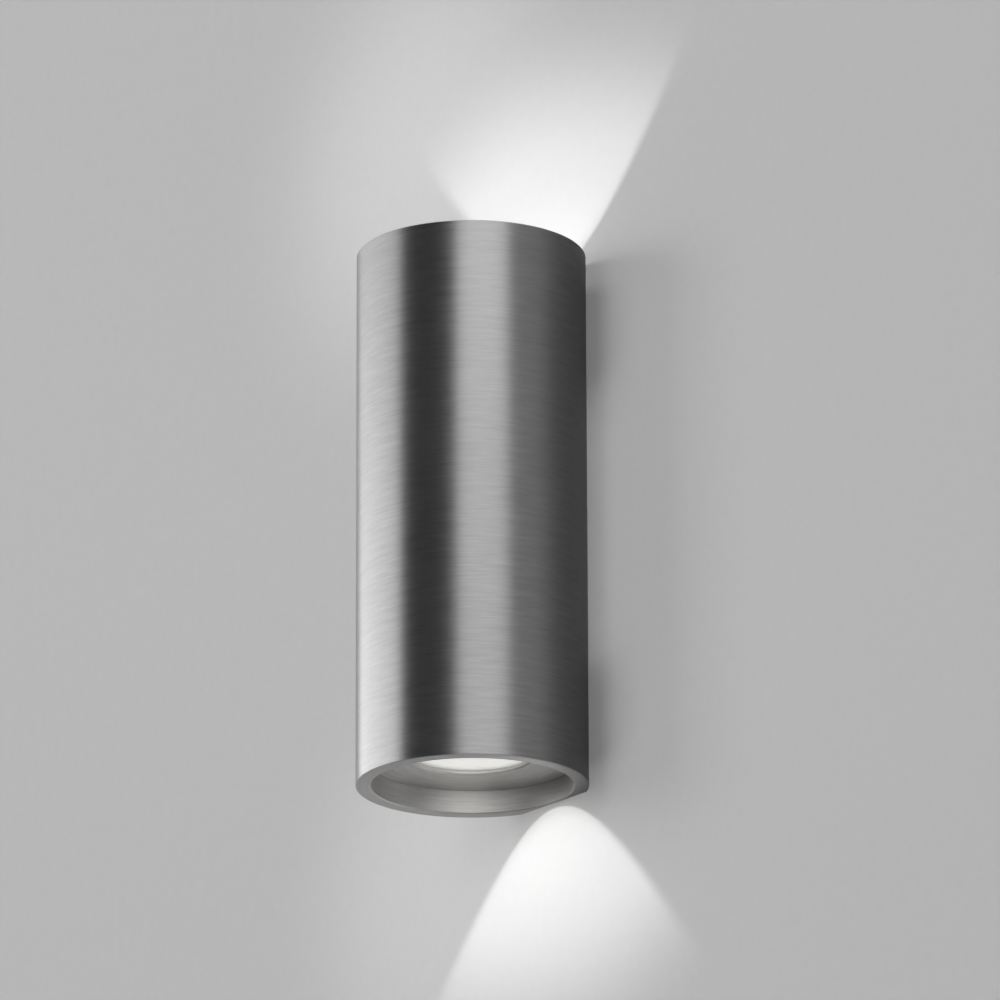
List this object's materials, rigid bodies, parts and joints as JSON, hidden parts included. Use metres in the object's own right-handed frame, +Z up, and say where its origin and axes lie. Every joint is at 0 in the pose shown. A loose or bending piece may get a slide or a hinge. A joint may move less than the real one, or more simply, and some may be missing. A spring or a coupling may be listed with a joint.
{
  "type": "tube wall light",
  "caption": "Flat-backed brushed metal tube that hangs over a slotted wall bracket, with a recessed round light at its upper and lower mouths.",
  "frame": {"origin": "middle of the wall bracket's two screw slots, on the wall plane", "axes": "+Z up along the tube, +Y into the wall, +X to the right as seen from the room"},
  "size_m": [0.076, 0.0718, 0.182],
  "materials": {
    "tube_metal": "fine brushed round the tube, satin, dark steel grey",
    "bezel_metal": "turned, satin, dark steel grey",
    "lens_glass": "frosted",
    "seal_silicone": "matte",
    "reflector_silver": "bright metallised",
    "board_ceramic": "matte",
    "led_phosphor": "satin silicone",
    "pad_grey": "matte",
    "holder_plastic": "moulded, satin",
    "heat_sink_metal": "machined, plain",
    "screw_steel": "zinc plated",
    "lock_screw_steel": "black oxide",
    "zinc_steel": "galvanised sheet",
    "grommet_rubber": "matte",
    "driver_plastic": "moulded, fine grain",
    "terminal_plastic": "moulded, satin",
    "terminal_brass": "plain",
    "lead_brown": "extruded",
    "lead_blue": "extruded",
    "lead_green": "extruded",
    "lead_red": "extruded",
    "lead_black": "extruded"
  },
  "bodies": {
    "bracket": {"wall_bracket": "zinc_steel", "cable_grommet": "grommet_rubber", "earth_screw": "screw_steel", "earth_washer": "zinc_steel"},
    "lamp": {"tube_body": "tube_metal", "lens_upper": "lens_glass", "lens_lower": "lens_glass", "lens_seal_upper": "seal_silicone", "lens_seal_lower": "seal_silicone", "reflector_upper": "reflector_silver", "reflector_lower": "reflector_silver", "led_board_upper": "board_ceramic", "led_board_lower": "board_ceramic", "led_emitter_upper": "led_phosphor", "led_emitter_lower": "led_phosphor", "heat_pad_upper": "pad_grey", "heat_pad_lower": "pad_grey", "led_holder_upper": "holder_plastic", "led_holder_lower": "holder_plastic", "heat_sink_upper": "heat_sink_metal", "heat_sink_lower": "heat_sink_metal", "holder_screws_upper": "screw_steel", "holder_screws_lower": "screw_steel", "chassis_screws_upper": "screw_steel", "chassis_screws_lower": "screw_steel", "back_screws": "screw_steel", "chassis": "zinc_steel", "driver_case": "driver_plastic", "driver_lid": "driver_plastic", "driver_cap_upper": "driver_plastic", "driver_cap_lower": "driver_plastic", "driver_screws": "screw_steel", "terminal_block": "terminal_plastic", "terminal_screws": "terminal_brass", "block_screws": "screw_steel", "earth_tag": "terminal_brass", "earth_tag_screw": "screw_steel", "live_lead": "lead_brown", "neutral_lead": "lead_blue", "earth_lead": "lead_green", "led_lead_upper_red": "lead_red", "led_lead_upper_black": "lead_black", "led_lead_lower_red": "lead_red", "led_lead_lower_black": "lead_black"},
    "bezel_upper_body": {"bezel_upper": "bezel_metal"},
    "lock_screw_upper_body": {"lock_screw_upper": "lock_screw_steel"},
    "bezel_lower_body": {"bezel_lower": "bezel_metal"},
    "lock_screw_lower_body": {"lock_screw_lower": "lock_screw_steel"}
  },
  "joints": [
    {"name": "lamp_lift_off", "type": "slide", "parent": "bracket", "child": "lamp", "axis": [0, -1, 0], "range_m": [0, 0.04]},
    {"name": "bezel_upper_turn", "type": "hinge", "parent": "lamp", "child": "bezel_upper_body", "pos_m": [0, -0.0338, 0.0798], "axis": [0, 0, 1], "continuous": true},
    {"name": "lock_screw_upper_travel", "type": "slide", "parent": "lamp", "child": "lock_screw_upper_body", "axis": [-1, 0, 0], "range_m": [0, 0.0025]},
    {"name": "bezel_lower_turn", "type": "hinge", "parent": "lamp", "child": "bezel_lower_body", "pos_m": [0, -0.0338, -0.0798], "axis": [0, 0, -1], "continuous": true},
    {"name": "lock_screw_lower_travel", "type": "slide", "parent": "lamp", "child": "lock_screw_lower_body", "axis": [-1, 0, 0], "range_m": [0, 0.0025]}
  ]
}
